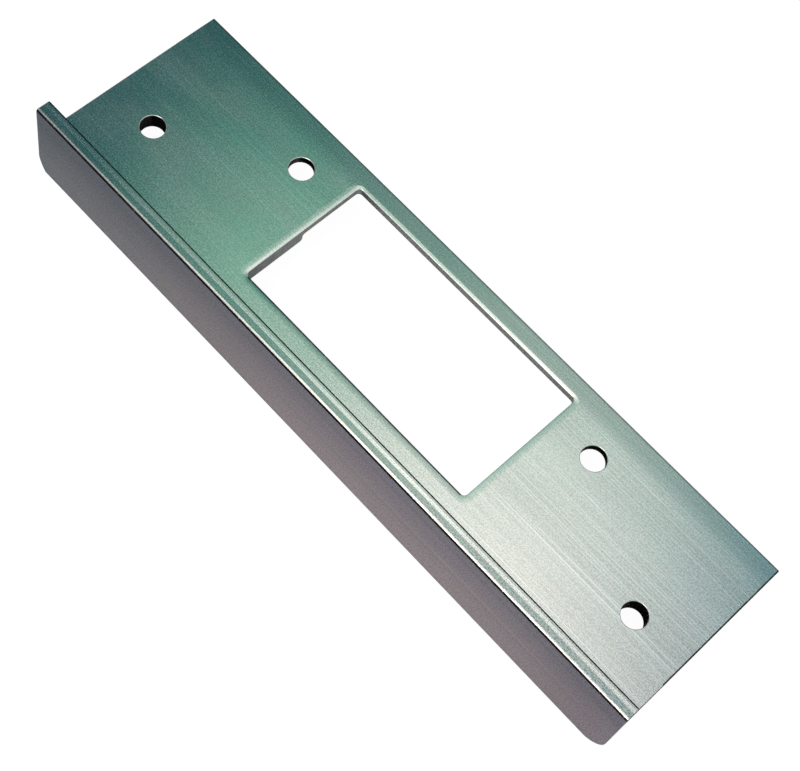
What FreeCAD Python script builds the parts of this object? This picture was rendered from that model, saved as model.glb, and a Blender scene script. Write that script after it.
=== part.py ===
import FreeCAD, Part
import os

import Sketcher

# Latch guard plate, in millimetres.
# One aluminium extrusion, cut to length and punched. A flat plate, thicker beside its flange
# than along its far edge, carries a strike window and two pairs of screw holes. The flange
# stands up past the visible face and hangs down past the seat, where it hooks the frame's edge.
#
# The plate is fixed by its seat, the underside of its thicker half. The origin is on the seat,
# midway between the outer screw holes. +X runs along the length, towards the fully rounded
# corner of the flange, +Y from the flange to the far edge, and +Z out of the visible face.

DIMENSIONS = {
    # the extrusion's section
    "plate_length": 203.2,
    "plate_width": 59.2,
    "thick_section": 5.1,
    "thin_section": 2.3,
    "recess_width": 25.2,
    "flange_thickness": 4.35,
    "flange_rise": 12.7,
    "flange_height": 27.0,
    # the flange's top: a long slope inwards, a narrow ledge that rises a little, and a short
    # slope inwards again
    "long_slope_width": 2.5,
    "long_slope_fall": 0.15,
    "ledge_width": 0.75,
    "ledge_rise": 0.02,
    "short_slope_fall": 0.03,
    # the strip along the far edge, where the visible face curves down a little
    "fall_width": 8.0,
    "fall_depth": 0.12,
    # radii along the section's corners
    "flange_outer_radius": 0.9,
    "flange_inner_radius": 0.5,
    "flange_foot_radius": 0.5,
    "root_radius": 0.8,
    "step_edge_radius": 1.0,
    "step_root_radius": 0.8,
    "far_edge_radius": 0.25,
    # the bevel that breaks the saw's sharp edges round both ends
    "end_break": 0.2,
    # the flange's two lower corners
    "full_corner_radius": 6.9,
    "cut_corner_radius": 11.5,
    "cut_corner_rise": 7.6,
    # the punched window, and the rolled edge that the punch leaves round it
    "window_length": 77.5,
    "window_inset": 14.6,
    "far_strip_width": 5.6,
    "window_corner_radius": 1.2,
    "roll_width": 2.0,
    "roll_depth": 0.09,
    # the screw holes
    "screw_hole_diameter": 6.8,
    "outer_hole_spacing": 171.45,
    "outer_hole_inset": 24.5,
    "inner_hole_spacing": 104.775,
    "inner_hole_far_inset": 13.5,
    # the rounding of every punched edge on the visible face
    "punched_edge_radius": 0.2,
    # how far a cutting shape stands out of what it cuts
    "cut_margin": 1.0,
}

doc = FreeCAD.newDocument("latch_guard")
sheet = doc.addObject("Spreadsheet::Sheet", "sizes")
for row, (name, value) in enumerate(DIMENSIONS.items(), start=1):
    sheet.set(f"A{row}", name)
    sheet.set(f"B{row}", str(value))
    sheet.setAlias(f"B{row}", name)
doc.recompute()

# Places across the width, as expressions on the sheet's cells
OUTER_FACE = "-sizes.outer_hole_inset"
INNER_FACE = "sizes.flange_thickness - sizes.outer_hole_inset"
LEDGE_NEAR = "sizes.long_slope_width - sizes.outer_hole_inset"
LEDGE_FAR = f"{LEDGE_NEAR} + sizes.ledge_width"
STEP = "sizes.plate_width - sizes.recess_width - sizes.outer_hole_inset"
FAR_EDGE = "sizes.plate_width - sizes.outer_hole_inset"
FALL_START = f"{FAR_EDGE} - sizes.fall_width"
WINDOW_NEAR = "sizes.window_inset - sizes.outer_hole_inset"
WINDOW_FAR = f"{FAR_EDGE} - sizes.far_strip_width"
INNER_HOLES = f"{FAR_EDGE} - sizes.inner_hole_far_inset"

# Places along the length
PLATE_END = "sizes.plate_length / 2"
WINDOW_END = "sizes.window_length / 2"

# Heights above the seat
SEAT = "0"
PLATE_TOP = "sizes.thick_section"
RECESS = "sizes.thick_section - sizes.thin_section"
FLANGE_TOP = "sizes.thick_section + sizes.flange_rise"
LEDGE_LOW = f"{FLANGE_TOP} - sizes.long_slope_fall"
LEDGE_HIGH = f"{LEDGE_LOW} + sizes.ledge_rise"
FLANGE_TOP_INNER = f"{LEDGE_HIGH} - sizes.short_slope_fall"
FLANGE_FOOT = f"{FLANGE_TOP} - sizes.flange_height"
FAR_TOP = "sizes.thick_section - sizes.fall_depth"
WINDOW_RIM = "sizes.thick_section - sizes.roll_depth"

# The radii of two arcs that leave the visible face level, from their width and depth
FALL_RADIUS = "sizes.fall_width ^ 2 / (2 * sizes.fall_depth) + sizes.fall_depth / 2"
ROLL_RADIUS = "sizes.roll_width ^ 2 / (2 * sizes.roll_depth) + sizes.roll_depth / 2"

TOLERANCE = 1e-4


def at(expression):
    """The value in millimetres of an expression on the sheet's cells."""
    result = sheet.evalExpression(expression.replace("sizes.", ""))
    return float(getattr(result, "Value", result))


def new_sketch(body, name, plane, lift=None):
    """A sketch on one of the body's origin planes, lifted off it along the plane's normal."""
    sketch = body.newObject("Sketcher::SketchObject", name)
    support = next(item for item in body.Origin.OriginFeatures if item.Role == plane)
    sketch.AttachmentSupport = [(support, "")]
    sketch.MapMode = "FlatFace"
    if lift:
        sketch.setExpression(".AttachmentOffset.Base.z", lift)
    return sketch


def bind(sketch, kind, elements, name, expression):
    """Add one named dimension to the sketch and bind it to the sheet."""
    index = sketch.addConstraint(Sketcher.Constraint(kind, *elements, at(expression)))
    sketch.renameConstraint(index, name)
    sketch.setExpression(f"Constraints.{name}", expression)


def place(sketch, element, point, name, across, up):
    """Fix a point of an element by its two distances from the sketch's origin."""
    bind(sketch, "DistanceX", (-1, 1, element, point), f"{name}_x", across)
    bind(sketch, "DistanceY", (-1, 1, element, point), f"{name}_y", up)


def arc_between(start, end, radius):
    """The shorter arc of this radius that runs anticlockwise from start to end."""
    chord = end - start
    sagitta = radius - (radius**2 - chord.Length**2 / 4) ** 0.5
    outwards = FreeCAD.Vector(chord.y, -chord.x, 0).normalize()
    return Part.Arc(start, (start + end) / 2 + outwards * sagitta, end)


def closed_outline(sketch, corners, arcs=None, hollows=None):
    """Join named corners, each a pair of expressions, anticlockwise by lines and arcs.

    arcs and hollows hold the radius of the arc that starts at a corner. An arc bulges out of
    the outline, and a hollow bulges into it.
    """
    arcs = arcs or {}
    hollows = hollows or {}
    names = list(corners)
    spots = {name: FreeCAD.Vector(at(across), at(up), 0) for name, (across, up) in corners.items()}
    pieces = []
    for name, following in zip(names, names[1:] + names[:1]):
        start, end = spots[name], spots[following]
        first, last = 1, 2
        if name in arcs:
            shape = arc_between(start, end, at(arcs[name]))
        elif name in hollows:
            shape = arc_between(end, start, at(hollows[name]))
            first, last = 2, 1
        else:
            shape = Part.LineSegment(start, end)
        pieces.append((sketch.addGeometry(shape, False), first, last))
    for name, (element, first, _) in zip(names, pieces):
        place(sketch, element, first, name, *corners[name])
        radius = arcs.get(name) or hollows.get(name)
        if radius:
            bind(sketch, "Radius", (element,), f"{name}_radius", radius)
    for (element, _, last), (following, first, _) in zip(pieces, pieces[1:] + pieces[:1]):
        sketch.addConstraint(Sketcher.Constraint("Coincident", element, last, following, first))


def edges_where(shape, test):
    """The names of the shape's edges that pass the test."""
    return [f"Edge{number}" for number, edge in enumerate(shape.Edges, start=1) if test(edge)]


def runs_along(*corners):
    """A test for edges that run along the length at any of these corners of the section."""
    spots = [(at(across), at(up)) for across, up in corners]

    def test(edge):
        ends = [vertex.Point for vertex in edge.Vertexes]
        return len(ends) == 2 and any(
            all(abs(end.y - across) < TOLERANCE and abs(end.z - up) < TOLERANCE for end in ends)
            for across, up in spots
        )

    return test


def is_level(edge, height):
    """Whether the whole edge lies at this height above the seat."""
    box = edge.BoundBox
    return max(abs(box.ZMin - at(height)), abs(box.ZMax - at(height))) < TOLERANCE


def is_punched_rim(edge):
    """Whether the edge is the rim of a screw hole or of the window, on the visible face."""
    hole_radius = at("sizes.screw_hole_diameter") / 2
    round_hole = (
        edge.Curve.TypeId == "Part::GeomCircle"
        and abs(edge.Curve.Radius - hole_radius) < TOLERANCE
        and is_level(edge, PLATE_TOP)
    )
    return round_hole or is_level(edge, WINDOW_RIM)


def is_end_edge(edge):
    """Whether the edge borders one of the bar's two ends."""
    box = edge.BoundBox
    return box.XLength < TOLERANCE and abs(abs(box.XMin) - at(PLATE_END)) < TOLERANCE


def break_edges(body, name, test, size):
    """Bevel the edges of the body so far that pass the test."""
    base = body.Tip
    bevel = body.newObject("PartDesign::Chamfer", name)
    bevel.Base = (base, edges_where(base.Shape, test))
    bevel.setExpression("Size", size)
    doc.recompute()


def round_edges(body, name, test, radius):
    """Round the edges of the body so far that pass the test."""
    base = body.Tip
    fillet = body.newObject("PartDesign::Fillet", name)
    fillet.Base = (base, edges_where(base.Shape, test))
    fillet.setExpression("Radius", radius)
    doc.recompute()


def cut(body, kind, name, sketch, **properties):
    """Cut a sketch's outline out of the body, and make sure that it took metal away."""
    before = body.Shape.Volume
    feature = body.newObject(kind, name)
    feature.Profile = sketch
    for property_name, value in properties.items():
        setattr(feature, property_name, value)
    doc.recompute()
    if feature.Shape.Volume > before - TOLERANCE:
        raise RuntimeError(f"{name} cuts nothing")
    return feature


def add_extrusion(body):
    """The bar as it leaves the die, with its section drawn once and pushed both ways."""
    sketch = new_sketch(body, "section", "YZ_Plane")
    corners = {
        "outer_foot": (OUTER_FACE, FLANGE_FOOT),
        "inner_foot": (INNER_FACE, FLANGE_FOOT),
        "seat_root": (INNER_FACE, SEAT),
        "step_edge": (STEP, SEAT),
        "step_root": (STEP, RECESS),
        "far_underside": (FAR_EDGE, RECESS),
        "far_top": (FAR_EDGE, FAR_TOP),
        "fall_start": (FALL_START, PLATE_TOP),
        "top_root": (INNER_FACE, PLATE_TOP),
        "inner_top": (INNER_FACE, FLANGE_TOP_INNER),
        "ledge_far": (LEDGE_FAR, LEDGE_HIGH),
        "ledge_near": (LEDGE_NEAR, LEDGE_LOW),
        "outer_top": (OUTER_FACE, FLANGE_TOP),
    }
    closed_outline(sketch, corners, arcs={"far_top": FALL_RADIUS})
    doc.recompute()
    bar = body.newObject("PartDesign::Pad", "bar")
    bar.Profile = sketch
    bar.Midplane = True
    bar.setExpression("Length", "sizes.plate_length")
    doc.recompute()
    for name, rounded, radius in (
        ("flange_outer_arris", ("outer_top",), "sizes.flange_outer_radius"),
        ("flange_inner_arris", ("inner_top",), "sizes.flange_inner_radius"),
        ("flange_foot_arrises", ("outer_foot", "inner_foot"), "sizes.flange_foot_radius"),
        ("roots", ("seat_root", "top_root"), "sizes.root_radius"),
        ("step_arris", ("step_edge",), "sizes.step_edge_radius"),
        ("step_hollow", ("step_root",), "sizes.step_root_radius"),
        ("far_arrises", ("far_underside", "far_top"), "sizes.far_edge_radius"),
    ):
        round_edges(body, name, runs_along(*(corners[corner] for corner in rounded)), radius)


def cut_flange_corners(body):
    """Take the flange's lower corners off: one to a full quarter circle, and one to a flatter
    arc that leaves the plate's end square and runs out through the flange's foot."""
    sketch = new_sketch(body, "corner_cuts", "XZ_Plane", lift="sizes.outer_hole_inset")
    beyond_end = f"{PLATE_END} + sizes.cut_margin"
    below_foot = f"{FLANGE_FOOT} - sizes.cut_margin"
    quarter = "sizes.full_corner_radius"
    closed_outline(
        sketch,
        {
            "full_low": (f"{PLATE_END} - {quarter}", below_foot),
            "full_outside": (beyond_end, below_foot),
            "full_level": (beyond_end, f"{FLANGE_FOOT} + {quarter}"),
            "full_end": (PLATE_END, f"{FLANGE_FOOT} + {quarter}"),
            "full_foot": (f"{PLATE_END} - {quarter}", FLANGE_FOOT),
        },
        hollows={"full_end": quarter},
    )
    arc_centre = f"sizes.cut_corner_radius - {PLATE_END}"
    arc_rise = "sizes.cut_corner_rise + sizes.cut_margin"
    arc_foot = f"{arc_centre} - sqrt(sizes.cut_corner_radius ^ 2 - ({arc_rise}) ^ 2)"
    closed_outline(
        sketch,
        {
            "cut_low": (arc_foot, below_foot),
            "cut_end": (f"-{PLATE_END}", f"{FLANGE_FOOT} + sizes.cut_corner_rise"),
            "cut_level": (f"-({beyond_end})", f"{FLANGE_FOOT} + sizes.cut_corner_rise"),
            "cut_outside": (f"-({beyond_end})", below_foot),
        },
        hollows={"cut_low": "sizes.cut_corner_radius"},
    )
    doc.recompute()
    pocket = cut(body, "PartDesign::Pocket", "corners", sketch, Length=at("sizes.flange_thickness"))
    pocket.setExpression("Length", "sizes.flange_thickness")


def add_window(body):
    """Punch the strike window, and roll its edge down on the visible face."""
    outline = new_sketch(body, "window_outline", "XY_Plane", lift=PLATE_TOP)
    radius = "sizes.window_corner_radius"
    closed_outline(
        outline,
        {
            "near_left": (f"{radius} - {WINDOW_END}", WINDOW_NEAR),
            "near_right": (f"{WINDOW_END} - {radius}", WINDOW_NEAR),
            "right_near": (WINDOW_END, f"{WINDOW_NEAR} + {radius}"),
            "right_far": (WINDOW_END, f"{WINDOW_FAR} - {radius}"),
            "far_right": (f"{WINDOW_END} - {radius}", WINDOW_FAR),
            "far_left": (f"{radius} - {WINDOW_END}", WINDOW_FAR),
            "left_far": (f"-{WINDOW_END}", f"{WINDOW_FAR} - {radius}"),
            "left_near": (f"-{WINDOW_END}", f"{WINDOW_NEAR} + {radius}"),
        },
        arcs=dict.fromkeys(("near_right", "right_far", "far_left", "left_near"), radius),
    )
    doc.recompute()
    cut(body, "PartDesign::Pocket", "window", outline, Type="ThroughAll")
    roll = new_sketch(body, "roll_section", "XZ_Plane")
    above = f"{PLATE_TOP} + sizes.cut_margin"
    inside = f"{WINDOW_END} - sizes.cut_margin"
    roll_end = f"{WINDOW_END} + sizes.roll_width"
    closed_outline(
        roll,
        {
            "inside_low": (inside, WINDOW_RIM),
            "rim": (WINDOW_END, WINDOW_RIM),
            "roll_end": (roll_end, PLATE_TOP),
            "outside_high": (roll_end, above),
            "inside_high": (inside, above),
        },
        hollows={"rim": ROLL_RADIUS},
    )
    doc.recompute()
    cut(body, "PartDesign::SubtractivePipe", "rolled_edge", roll, Spine=(outline, []))


def add_screw_holes(body, name, spacing, inset):
    """Punch one pair of screw holes, midway along the plate."""
    sketch = new_sketch(body, f"{name}_centres", "XY_Plane", lift=PLATE_TOP)
    for side, across in (("left", f"-{spacing} / 2"), ("right", f"{spacing} / 2")):
        centre = FreeCAD.Vector(at(across), at(inset), 0)
        rim = Part.Circle(centre, FreeCAD.Vector(0, 0, 1), at("sizes.screw_hole_diameter") / 2)
        element = sketch.addGeometry(rim, False)
        place(sketch, element, 3, side, across, inset)
        bind(sketch, "Diameter", (element,), f"{side}_diameter", "sizes.screw_hole_diameter")
    doc.recompute()
    cut(body, "PartDesign::Pocket", name, sketch, Type="ThroughAll")


def failures(document):
    """The labels of the objects that didn't recompute."""
    return [item.Label for item in document.Objects if {"Invalid", "Error"} & set(item.State)]


guard_plate = doc.addObject("PartDesign::Body", "guard_plate")
guard_plate.Label = "guard_plate"
doc.recompute()
add_extrusion(guard_plate)
break_edges(guard_plate, "end_edges", is_end_edge, "sizes.end_break")
cut_flange_corners(guard_plate)
add_window(guard_plate)
add_screw_holes(guard_plate, "outer_screw_holes", "sizes.outer_hole_spacing", "0")
add_screw_holes(guard_plate, "inner_screw_holes", "sizes.inner_hole_spacing", INNER_HOLES)
round_edges(guard_plate, "punched_edges", is_punched_rim, "sizes.punched_edge_radius")

failed = failures(doc)
shape = guard_plate.Shape
if failed or shape.isNull() or not shape.isValid() or len(shape.Solids) != 1:
    raise RuntimeError(f"the plate isn't one sound solid: {failed}")
os.makedirs("parts", exist_ok=True)
shape.exportStep(f"parts/{guard_plate.Label}.step")
print(f"{guard_plate.Label}: {shape.Volume:.1f} cubic mm, box {shape.BoundBox}")
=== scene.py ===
import math

import bpy
from mathutils import Euler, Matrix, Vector

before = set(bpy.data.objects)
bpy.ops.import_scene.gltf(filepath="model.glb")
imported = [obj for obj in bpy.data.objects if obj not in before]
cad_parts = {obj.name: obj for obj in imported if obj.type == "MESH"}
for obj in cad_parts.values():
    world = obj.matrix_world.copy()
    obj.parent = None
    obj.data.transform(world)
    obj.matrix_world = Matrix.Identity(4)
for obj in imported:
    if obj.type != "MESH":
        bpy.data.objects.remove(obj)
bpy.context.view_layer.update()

MM = 0.001

# the part's faces and edges
FLANGE_FOOT = -9.2 * MM
OUTER_FACE = -24.5 * MM
INNER_FACE = -20.15 * MM
PLATE_TOP = 5.1 * MM
FLANGE_TOP = 17.74 * MM
PLATE_END = 101.6 * MM
FAR_EDGE = 34.7 * MM
WINDOW_END = 38.75 * MM
WINDOW_NEAR = -9.9 * MM
WINDOW_FAR = 29.1 * MM

# the camera
SENSOR_WIDTH = 36.0
LENS = 82.114
SHIFT = (0.0375, -0.0881)
NEAREST_SEEN = 0.01
CAMERA_PLACE = (0.102154, -0.170726, 0.403271)
CAMERA_TURN = (26.87839, -7.25693, 46.55188)

# the room that the metal mirrors, by how far a direction points across, along and up; each side
# of a region fades in from its first number to its second
SEEN_BY_EYE = (0.93, 0.93, 0.93, 1.0)
ROOM_GREY = (0.46, 0.48, 0.48, 1.0)
ROOM_DARK = (0.025, 0.03, 0.033, 1.0)
ROOM_REGIONS = {
    "dim_behind": {
        "colour": (0.07, 0.09, 0.095, 1.0),
        "sides": (
            ("across", -0.8, -0.5),
            ("across", 0.12, -0.06),
            ("along", 0.42, 0.62),
            ("along", 0.8, 0.66),
        ),
    },
    "dark_low_on_the_right": {
        "colour": ROOM_DARK,
        "sides": (("across", 0.45, 0.7), ("along", 0.0, 0.25), ("up", 0.35, 0.15)),
    },
    "dark_low_in_front": {
        "colour": ROOM_DARK,
        "sides": (("along", -0.4, -0.8), ("up", 0.42, 0.25)),
    },
    "dim_high_on_the_left": {
        "colour": (0.2, 0.22, 0.22, 1.0),
        "sides": (("across", -0.34, -0.42), ("up", 0.5, 0.65), ("along", 0.25, 0.1)),
    },
    "bright_on_the_right": {
        "colour": (1.1, 1.12, 1.05, 1.0),
        "sides": (
            ("across", 0.1, 0.2),
            ("across", 0.6, 0.45),
            ("along", 0.2, 0.3),
            ("along", 0.6, 0.5),
        ),
    },
}

# the card, an ellipse that fills most of the directions that the visible face mirrors
CARD_CENTRE = (-0.25, 0.44)
CARD_RADII = (0.42, 0.3)
CARD_RIM = (0.7, 1.6)
CARD_SLANT = -0.33
CARD_SLANT_START = -0.1
CARD_TEAL = (0.0, 0.058, 0.082, 1.0)
CARD_REGIONS = {
    "green_middle": {
        "colour": (0.0, 0.18, 0.155, 1.0),
        "sides": (("across", -0.42, -0.3),),
    },
    "blue_right": {
        "colour": (0.0, 0.155, 0.21, 1.0),
        "sides": (("across", -0.14, 0.02),),
    },
    "deep_blue_by_the_softbox": {
        "colour": (0.0, 0.03, 0.11, 1.0),
        "sides": (("across", -0.24, -0.12), ("along", 0.44, 0.34)),
    },
    "grey_far_part": {
        "colour": (0.04, 0.055, 0.06, 1.0),
        "sides": (("slanted", 0.52, 0.7),),
    },
}

# a green patch where the softbox meets the card
PATCH_COLOUR = (0.3, 0.76, 0.5, 1.0)
PATCH_CENTRE = (-0.312, 0.363)
PATCH_SPREAD = 0.0023

# the softbox, a tall soft light: its two long sides lean, and the left one bulges in one place
SOFTBOX_LIGHT = (3.55, 3.33, 2.93)
LEAN_MIDDLE = 0.36
LEFT_LEAN = -0.03
RIGHT_LEAN = 0.293
BULGE_MIDDLE = 0.08
BULGE_REACH = (0.23, 0.11)
BULGE_DEPTH = 0.085
SOFTBOX_SIDES = (
    ("left_edge", -0.326, 0.013),
    ("right_edge", 0.097, -0.215),
    ("along", 0.666, 0.166),
    ("up", 0.5, 0.82),
    ("off_zenith", 0.015, 0.075),
)

# the floor, and the tones that the metal mirrors in it
FLOOR_HALF = 3.0
FLOOR_GAP = 0.05 * MM
FLOOR_GLOW = 0.96
FLOOR_PALE = (0.1, 0.1, 0.1, 1.0)
FLOOR_MAUVE = (0.47, 0.41, 0.46, 1.0)
FLOOR_DARK = (0.012, 0.011, 0.014, 1.0)
FLOOR_REGIONS = {
    "blue_farther_out": {
        "colour": (0.29, 0.275, 0.34, 1.0),
        "sides": (("along", OUTER_FACE - 2 * MM, OUTER_FACE - 11 * MM),),
    },
    "teal_to_the_left": {
        "colour": (0.58, 0.7, 0.7, 1.0),
        "sides": (("across", 20 * MM, -115 * MM),),
        "blend": "MULTIPLY",
    },
    "dimmer_to_the_right": {
        "colour": (0.82, 0.82, 0.85, 1.0),
        "sides": (("across", 55 * MM, 105 * MM),),
        "blend": "MULTIPLY",
    },
    "grey_under_the_plate": {
        "colour": (0.34, 0.35, 0.365, 1.0),
        "sides": (("along", OUTER_FACE, OUTER_FACE + 6 * MM),),
    },
    "dark_in_front": {
        "colour": FLOOR_DARK,
        "sides": (("along", OUTER_FACE - 40 * MM, OUTER_FACE - 75 * MM), ("along", -400 * MM, -200 * MM)),
    },
    # painted shade on the floor under the plate's two ends, which the holes' walls mirror
    "painted_shade_under_the_ends": {
        "colour": FLOOR_DARK,
        "sides": (
            ("aside", 40 * MM, 48 * MM),
            ("aside", 106 * MM, 98 * MM),
            ("along", OUTER_FACE, OUTER_FACE + 8 * MM),
            ("along", FAR_EDGE, FAR_EDGE - 6 * MM),
        ),
    },
}

# the metal's textures: how long, wide and high their grains are, and how far they turn in degrees
TEXTURES = {
    "streaks": {"grains": (420 * MM, 4 * MM, 4 * MM), "detail": 1.0},
    "die_lines": {"grains": (420 * MM, 0.45 * MM, 0.45 * MM), "detail": 0.0},
    "grain": {"grains": (0.42 * MM, 0.36 * MM, 0.36 * MM), "detail": 1.0},
    "clouds": {"grains": (30 * MM, 12 * MM, 12 * MM), "detail": 2.0},
    "scratches": {"grains": (200 * MM, 0.34 * MM, 0.34 * MM), "detail": 0.0, "turn": 0.2},
    "oblique_scratches": {"grains": (24 * MM, 0.4 * MM, 0.4 * MM), "detail": 0.0, "turn": -7.0},
    "cut_marks": {"grains": (0.35 * MM, 0.35 * MM, 5 * MM), "detail": 2.0},
    "nicks": {"grains": (0.9 * MM, 0.5 * MM, 0.5 * MM), "detail": 2.0},
}

# the values between which a texture fades in, by place or by how squarely a wall faces one way
LINES_GROW = (-50 * MM, 60 * MM)
FAINTEST_LINES = 0.3
GRAIN_GROWS = (-90 * MM, 60 * MM)
FAINTEST_GRAIN = 0.85
COARSE_GROWS = (0.0, 70 * MM)
COARSE_RISES = (FLANGE_TOP - 1.2 * MM, FLANGE_TOP - 0.8 * MM)
FACES_SQUARELY = (0.75, 0.9)
CUT_MARGIN = 0.02 * MM

# only the crests of these noises show
SCRATCH_CREST = (0.66, 0.71)
OBLIQUE_CREST = (0.72, 0.8)
NICK_CREST = (0.62, 0.72)
# the share of the painted edge shade and highlights that stays where a nick breaks them
PAINTED_LINE_LEFT_IN_NICKS = 0.4

# how much the textures change the light that the metal returns
STREAK_SWING = 0.03
LINE_SWING = 0.04
GRAIN_SWING = 0.19
SCRATCH_GAIN = 0.34
MARK_LOSS = 0.16
MARK_GAIN = 0.12

# the metal's own colour, and the fine speckle that varies it
METAL_TINT = (0.75, 0.765, 0.74)
TINT_SPREAD = (0.1, 0.07, 0.1)
TINT_GRAIN = 1.1 * MM

# how rough the metal is, and how much of the bump each texture makes
CLOUD_RANGE = (0.3, 0.7)
CLOUD_ROUGHNESS = (0.17, 0.21)
GRAIN_RANGE = (0.2, 0.8)
GRAIN_ROUGHNESS = (-0.02, 0.02)
CUT_ROUGHNESS = 0.12
COARSE_ROUGHNESS = 0.09
GRAIN_HEIGHT = 0.15
LINE_HEIGHT = 0.35
SCRATCH_HEIGHT = -0.3
MARK_HEIGHT = 1.5
BUMP_DISTANCE = 0.004 * MM


def line_along_x(half_length, y, z):
    """The two ends of a line along X, as long to the left as to the right."""
    return (-half_length, y, z), (half_length, y, z)


def line_along_y(x, near, far):
    """The two ends of a line along Y, on the plate's top."""
    return (x, near, PLATE_TOP), (x, far, PLATE_TOP)


# painted light along the edges: a tone under one paints a dark line of shade along the flange's arrises,
# the far edge, the sawn end (from the Y below) and the window's near edge; a tone over one paints a bright
# highlight beside the window's far, left and right edges
SAWN_END_SHADE_START = -7 * MM
PAINTED_EDGE_SHADE_AND_HIGHLIGHTS = {
    "outer_arris": {
        "ends": line_along_x(PLATE_END, OUTER_FACE + 0.33 * MM, FLANGE_TOP - 0.38 * MM),
        "reach": 0.38 * MM,
        "painted_tone": 0.05,
    },
    "inner_arris": {
        "ends": line_along_x(PLATE_END, INNER_FACE - 0.08 * MM, FLANGE_TOP - 0.3 * MM),
        "reach": 0.64 * MM,
        "painted_tone": 0.02,
    },
    "far_edge": {
        "ends": line_along_x(PLATE_END, FAR_EDGE - 0.1 * MM, PLATE_TOP - 0.25 * MM),
        "reach": 0.6 * MM,
        "painted_tone": 0.5,
    },
    "sawn_end": {
        "ends": line_along_y(PLATE_END - 0.06 * MM, SAWN_END_SHADE_START, FAR_EDGE),
        "reach": 0.45 * MM,
        "painted_tone": 0.1,
    },
    "window_near_edge": {
        "ends": line_along_x(WINDOW_END - 1.2 * MM, WINDOW_NEAR - 0.12 * MM, PLATE_TOP - 0.09 * MM),
        "reach": 0.5 * MM,
        "painted_tone": 0.15,
    },
    # painted highlights beside the window's far, left and right edges
    "window_far_edge": {
        "ends": line_along_x(WINDOW_END, WINDOW_FAR + 0.4 * MM, PLATE_TOP),
        "reach": 0.6 * MM,
        "painted_tone": 1.25,
    },
    "window_left_edge": {
        "ends": line_along_y(-WINDOW_END - 0.35 * MM, WINDOW_NEAR, WINDOW_FAR),
        "reach": 0.6 * MM,
        "painted_tone": 1.25,
    },
    "window_right_edge": {
        "ends": line_along_y(WINDOW_END + 0.35 * MM, WINDOW_NEAR, WINDOW_FAR),
        "reach": 0.9 * MM,
        "painted_tone": 1.28,
    },
}


def add_node(tree, kind, inputs=None, **settings):
    """A shader node with its settings made and its inputs linked or set."""
    node = tree.nodes.new(kind)
    for name, value in settings.items():
        setattr(node, name, value)
    for name, value in (inputs or {}).items():
        socket = node.inputs[name]
        if isinstance(value, bpy.types.NodeSocket):
            tree.links.new(value, socket)
        else:
            socket.default_value = value
    return node


def maths(tree, operation, *values):
    """The result of a Math node."""
    node = add_node(tree, "ShaderNodeMath", dict(enumerate(values)), operation=operation)
    return node.outputs[0]


def vector_maths(tree, operation, inputs, output=0):
    """The result of a Vector Math node."""
    return add_node(tree, "ShaderNodeVectorMath", inputs, operation=operation).outputs[output]


def product(tree, first, *others):
    """Several values multiplied together."""
    for other in others:
        first = maths(tree, "MULTIPLY", first, other)
    return first


def ramp(tree, value, low, high, at_low=0.0, at_high=1.0):
    """A smooth step from at_low to at_high, as value goes from low to high."""
    node = add_node(
        tree,
        "ShaderNodeMapRange",
        {"Value": value, "From Min": low, "From Max": high, "To Min": at_low, "To Max": at_high},
        interpolation_type="SMOOTHSTEP",
    )
    return node.outputs["Result"]


def spread(tree, noise, at_low, at_high):
    """A noise's usual range, from a quarter to three quarters, drawn out between two values."""
    return ramp(tree, noise, 0.25, 0.75, at_low, at_high)


def mix_colour(tree, factor, first, second, blend="MIX"):
    """The colour between two colours, each a value or a socket."""
    node = tree.nodes.new("ShaderNodeMix")
    node.data_type = "RGBA"
    node.blend_type = blend
    sockets = {socket.identifier: socket for socket in node.inputs}
    for identifier, value in (("Factor_Float", factor), ("A_Color", first), ("B_Color", second)):
        if isinstance(value, bpy.types.NodeSocket):
            tree.links.new(value, sockets[identifier])
        else:
            sockets[identifier].default_value = value
    return next(socket for socket in node.outputs if socket.identifier == "Result_Color")


def split(tree, vector):
    """The three parts of a vector."""
    return add_node(tree, "ShaderNodeSeparateXYZ", {0: vector}).outputs


def new_tree(holder):
    """The empty node tree of a world or a material."""
    holder.use_nodes = True
    holder.node_tree.nodes.clear()
    return holder.node_tree


def inside(tree, parts, sides):
    """1 inside a region and 0 outside it, with its sides faded."""
    return product(tree, *(ramp(tree, parts[part], outer, inner) for part, outer, inner in sides))


def lay_over(tree, parts, colour, regions):
    """A colour with each region's colour laid over it in turn."""
    for region in regions.values():
        share = inside(tree, parts, region["sides"])
        colour = mix_colour(tree, share, colour, region["colour"], region.get("blend", "MIX"))
    return colour


def distance_squared(tree, parts, centre=(0.0, 0.0), radii=(1.0, 1.0)):
    """How far a direction is from a centre, across and along, in radii and squared."""
    squares = []
    for name, middle, radius in zip(("across", "along"), centre, radii):
        offset = maths(tree, "DIVIDE", maths(tree, "SUBTRACT", parts[name], middle), radius)
        squares.append(maths(tree, "MULTIPLY", offset, offset))
    return maths(tree, "ADD", *squares)


def room_light(tree, parts):
    """The grey room, and in it a dark teal card with a green patch beside the softbox."""
    room = lay_over(tree, parts, ROOM_GREY, ROOM_REGIONS)
    beyond_start = maths(tree, "SUBTRACT", parts["across"], CARD_SLANT_START)
    slanted = maths(tree, "MULTIPLY_ADD", beyond_start, CARD_SLANT, parts["along"])
    card = lay_over(tree, dict(parts, slanted=slanted), CARD_TEAL, CARD_REGIONS)
    off_card = ramp(tree, distance_squared(tree, parts, CARD_CENTRE, CARD_RADII), *CARD_RIM)
    backdrop = mix_colour(tree, off_card, card, room)
    off_patch = maths(tree, "DIVIDE", distance_squared(tree, parts, PATCH_CENTRE), -PATCH_SPREAD)
    return mix_colour(tree, maths(tree, "EXPONENT", off_patch), backdrop, PATCH_COLOUR)


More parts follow.
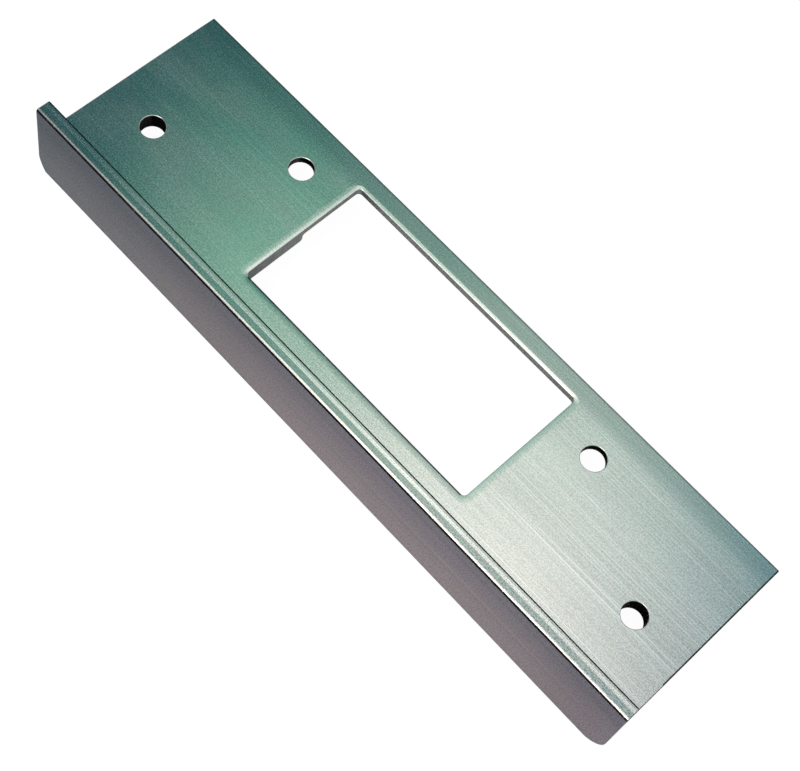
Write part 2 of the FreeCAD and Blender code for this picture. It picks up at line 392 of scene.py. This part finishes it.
def softbox_light(tree, parts):
    """The tall soft light, as it adds to the room's."""
    leaning = maths(tree, "SUBTRACT", parts["along"], LEAN_MIDDLE)
    from_bulge = maths(tree, "ABSOLUTE", maths(tree, "SUBTRACT", parts["along"], BULGE_MIDDLE))
    bulge = ramp(tree, from_bulge, *BULGE_REACH, 0.0, BULGE_DEPTH)
    straight_edge = maths(tree, "MULTIPLY_ADD", leaning, LEFT_LEAN, parts["across"])
    softbox_parts = dict(
        parts,
        left_edge=maths(tree, "ADD", straight_edge, bulge),
        right_edge=maths(tree, "MULTIPLY_ADD", leaning, RIGHT_LEAN, parts["across"]),
        off_zenith=distance_squared(tree, parts),
    )
    share = inside(tree, softbox_parts, SOFTBOX_SIDES)
    return vector_maths(tree, "SCALE", {0: SOFTBOX_LIGHT, "Scale": share})


def build_world():
    """Soft studio light: a white backdrop for the eye, and a room that the metal mirrors."""
    world = bpy.data.worlds.new("studio")
    bpy.context.scene.world = world
    tree = new_tree(world)
    direction = add_node(tree, "ShaderNodeTexCoord").outputs["Generated"]
    parts = dict(zip(("across", "along", "up"), split(tree, direction)))
    light = vector_maths(tree, "ADD", {0: room_light(tree, parts), 1: softbox_light(tree, parts)})
    seen = add_node(tree, "ShaderNodeLightPath").outputs["Is Camera Ray"]
    colour = mix_colour(tree, seen, light, SEEN_BY_EYE)
    background = add_node(tree, "ShaderNodeBackground", {"Color": colour})
    add_node(tree, "ShaderNodeOutputWorld", {"Surface": background.outputs[0]})


def build_camera():
    """The photograph's view of the plate."""
    data = bpy.data.cameras.new("camera")
    data.sensor_width = SENSOR_WIDTH
    data.lens = LENS
    data.shift_x, data.shift_y = SHIFT
    data.clip_start = NEAREST_SEEN
    camera = bpy.data.objects.new("camera", data)
    camera.location = CAMERA_PLACE
    camera.rotation_euler = Euler([math.radians(angle) for angle in CAMERA_TURN])
    bpy.context.scene.collection.objects.link(camera)
    bpy.context.scene.camera = camera


def floor_material():
    """White and glowing for the eye, and dimmer where the metal mirrors it."""
    material = bpy.data.materials.new("floor")
    tree = new_tree(material)
    glow = add_node(tree, "ShaderNodeEmission", {"Color": (1, 1, 1, 1), "Strength": FLOOR_GLOW})
    pale = add_node(tree, "ShaderNodeBsdfDiffuse", {"Color": FLOOR_PALE})
    white = add_node(tree, "ShaderNodeAddShader", {0: glow.outputs[0], 1: pale.outputs[0]})
    place = add_node(tree, "ShaderNodeTexCoord").outputs["Object"]
    parts = dict(zip(("across", "along"), split(tree, place)))
    parts["aside"] = maths(tree, "ABSOLUTE", parts["across"])
    tone = lay_over(tree, parts, FLOOR_MAUVE, FLOOR_REGIONS)
    mirrored = add_node(tree, "ShaderNodeBsdfDiffuse", {"Color": tone})
    seen = add_node(tree, "ShaderNodeLightPath").outputs["Is Camera Ray"]
    both = add_node(tree, "ShaderNodeMixShader", {0: seen, 1: mirrored.outputs[0], 2: white.outputs[0]})
    add_node(tree, "ShaderNodeOutputMaterial", {"Surface": both.outputs[0]})
    return material


def build_floor():
    """A level floor just under the flange's foot."""
    height = FLANGE_FOOT - FLOOR_GAP
    mesh = bpy.data.meshes.new("floor")
    corners = [(-1, -1), (1, -1), (1, 1), (-1, 1)]
    mesh.from_pydata([(x * FLOOR_HALF, y * FLOOR_HALF, height) for x, y in corners], [], [(0, 1, 2, 3)])
    mesh.materials.append(floor_material())
    floor = bpy.data.objects.new("floor", mesh)
    bpy.context.scene.collection.objects.link(floor)


def stretched_noise(tree, place, grains, detail, turn=0.0):
    """Noise whose grains have this length, width and height."""
    mapping = add_node(
        tree,
        "ShaderNodeMapping",
        {0: place, "Scale": [1 / size for size in grains], "Rotation": (0, 0, math.radians(turn))},
    )
    noise = add_node(
        tree, "ShaderNodeTexNoise", {"Vector": mapping.outputs[0], "Scale": 1.0, "Detail": detail}
    )
    return noise.outputs[0]


def near_segment(tree, place, start, end, reach):
    """How near a point is to a straight segment, from 1 on it to 0 at its reach."""
    run = Vector(end) - Vector(start)
    spot = vector_maths(tree, "SUBTRACT", {0: place, 1: start})
    share = vector_maths(tree, "DOT_PRODUCT", {0: spot, 1: run / run.length_squared}, "Value")
    held = add_node(tree, "ShaderNodeClamp", {"Value": share})
    foot = vector_maths(tree, "SCALE", {0: run, "Scale": held.outputs[0]})
    gap = vector_maths(tree, "DISTANCE", {0: spot, 1: foot}, "Value")
    return ramp(tree, gap, reach, 0.5 * reach)


def cut_walls(tree, across, along, facing):
    """1 on the walls that were sawn or punched, and 0 elsewhere."""
    in_window = product(
        tree,
        maths(tree, "LESS_THAN", maths(tree, "ABSOLUTE", across), WINDOW_END + CUT_MARGIN),
        maths(tree, "GREATER_THAN", along, WINDOW_NEAR - CUT_MARGIN),
        maths(tree, "LESS_THAN", along, WINDOW_FAR + CUT_MARGIN),
    )
    at_an_end = ramp(tree, maths(tree, "ABSOLUTE", facing[0]), *FACES_SQUARELY)
    return maths(tree, "MAXIMUM", at_an_end, in_window)


def painted_edge_shade_and_highlights(tree, place, nicks):
    """Painted shade and painted highlights along the edges, with small nicks in them."""
    whole = ramp(tree, nicks, *NICK_CREST, 1.0, PAINTED_LINE_LEFT_IN_NICKS)
    shares = []
    for edge in PAINTED_EDGE_SHADE_AND_HIGHLIGHTS.values():
        line = maths(tree, "MULTIPLY", near_segment(tree, place, *edge["ends"], edge["reach"]), whole)
        shares.append(ramp(tree, line, 0.0, 1.0, 1.0, edge["painted_tone"]))
    return product(tree, *shares)


def brushed_aluminium():
    """Bare extruded aluminium: a fine even grain, with die lines and long scratches along X."""
    material = bpy.data.materials.new("brushed_aluminium")
    tree = new_tree(material)
    place = add_node(tree, "ShaderNodeTexCoord").outputs["Object"]
    facing = split(tree, add_node(tree, "ShaderNodeNewGeometry").outputs["Normal"])
    across, along, up = split(tree, place)
    noise = {name: stretched_noise(tree, place, **texture) for name, texture in TEXTURES.items()}
    scratched = maths(
        tree,
        "MAXIMUM",
        ramp(tree, noise["scratches"], *SCRATCH_CREST),
        ramp(tree, noise["oblique_scratches"], *OBLIQUE_CREST),
    )
    cut = cut_walls(tree, across, along, facing)

    # the die lines and scratches show more towards the right, and the flange's top is coarser there
    clear = ramp(tree, across, *LINES_GROW, FAINTEST_LINES, 1.0)
    coarse = product(tree, ramp(tree, up, *COARSE_RISES), ramp(tree, across, *COARSE_GROWS))
    # the grain is a little fainter towards the left, and twice as strong on the outer face
    outer_face = ramp(tree, facing[1], *(-limit for limit in FACES_SQUARELY))
    grain_here = maths(tree, "ADD", ramp(tree, across, *GRAIN_GROWS, FAINTEST_GRAIN, 1.0), outer_face)
    grain_here = maths(tree, "ADD", grain_here, coarse)

    swings = (
        (spread(tree, noise["die_lines"], -LINE_SWING, LINE_SWING), clear),
        (spread(tree, noise["grain"], -GRAIN_SWING, GRAIN_SWING), grain_here),
        (maths(tree, "MULTIPLY", scratched, SCRATCH_GAIN), clear),
        (spread(tree, noise["cut_marks"], -MARK_LOSS, MARK_GAIN), cut),
    )
    tone = product(
        tree,
        spread(tree, noise["streaks"], 1 - STREAK_SWING, 1 + STREAK_SWING),
        *(maths(tree, "MULTIPLY_ADD", swing, share, 1.0) for swing, share in swings),
        # painted shade and painted highlights along the edges
        painted_edge_shade_and_highlights(tree, place, noise["nicks"]),
    )
    tint = add_node(
        tree, "ShaderNodeTexNoise", {"Vector": place, "Scale": 1 / TINT_GRAIN, "Detail": 1.0}
    ).outputs["Color"]
    tint = vector_maths(tree, "MULTIPLY_ADD", {0: tint, 1: TINT_SPREAD, 2: METAL_TINT})
    colour = vector_maths(tree, "SCALE", {0: tint, "Scale": tone})

    roughness = maths(
        tree,
        "ADD",
        ramp(tree, noise["clouds"], *CLOUD_RANGE, *CLOUD_ROUGHNESS),
        ramp(tree, noise["grain"], *GRAIN_RANGE, *GRAIN_ROUGHNESS),
    )
    for share, more in ((cut, CUT_ROUGHNESS), (coarse, COARSE_ROUGHNESS)):
        roughness = maths(tree, "MULTIPLY_ADD", share, more, roughness)

    height = noise["streaks"]
    for texture, share in (
        (noise["grain"], GRAIN_HEIGHT),
        (noise["die_lines"], LINE_HEIGHT),
        (scratched, SCRATCH_HEIGHT),
        (maths(tree, "MULTIPLY", noise["cut_marks"], cut), MARK_HEIGHT),
    ):
        height = maths(tree, "MULTIPLY_ADD", texture, share, height)
    bump = add_node(tree, "ShaderNodeBump", {"Strength": 1.0, "Distance": BUMP_DISTANCE, "Height": height})
    shader = add_node(
        tree,
        "ShaderNodeBsdfPrincipled",
        {"Base Color": colour, "Metallic": 1.0, "Roughness": roughness, "Normal": bump.outputs[0]},
    )
    add_node(tree, "ShaderNodeOutputMaterial", {"Surface": shader.outputs[0]})
    return material


bpy.context.scene.view_settings.view_transform = "Standard"
build_world()
build_camera()
build_floor()
metal = brushed_aluminium()
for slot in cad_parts["guard_plate"].material_slots:
    slot.material = metal
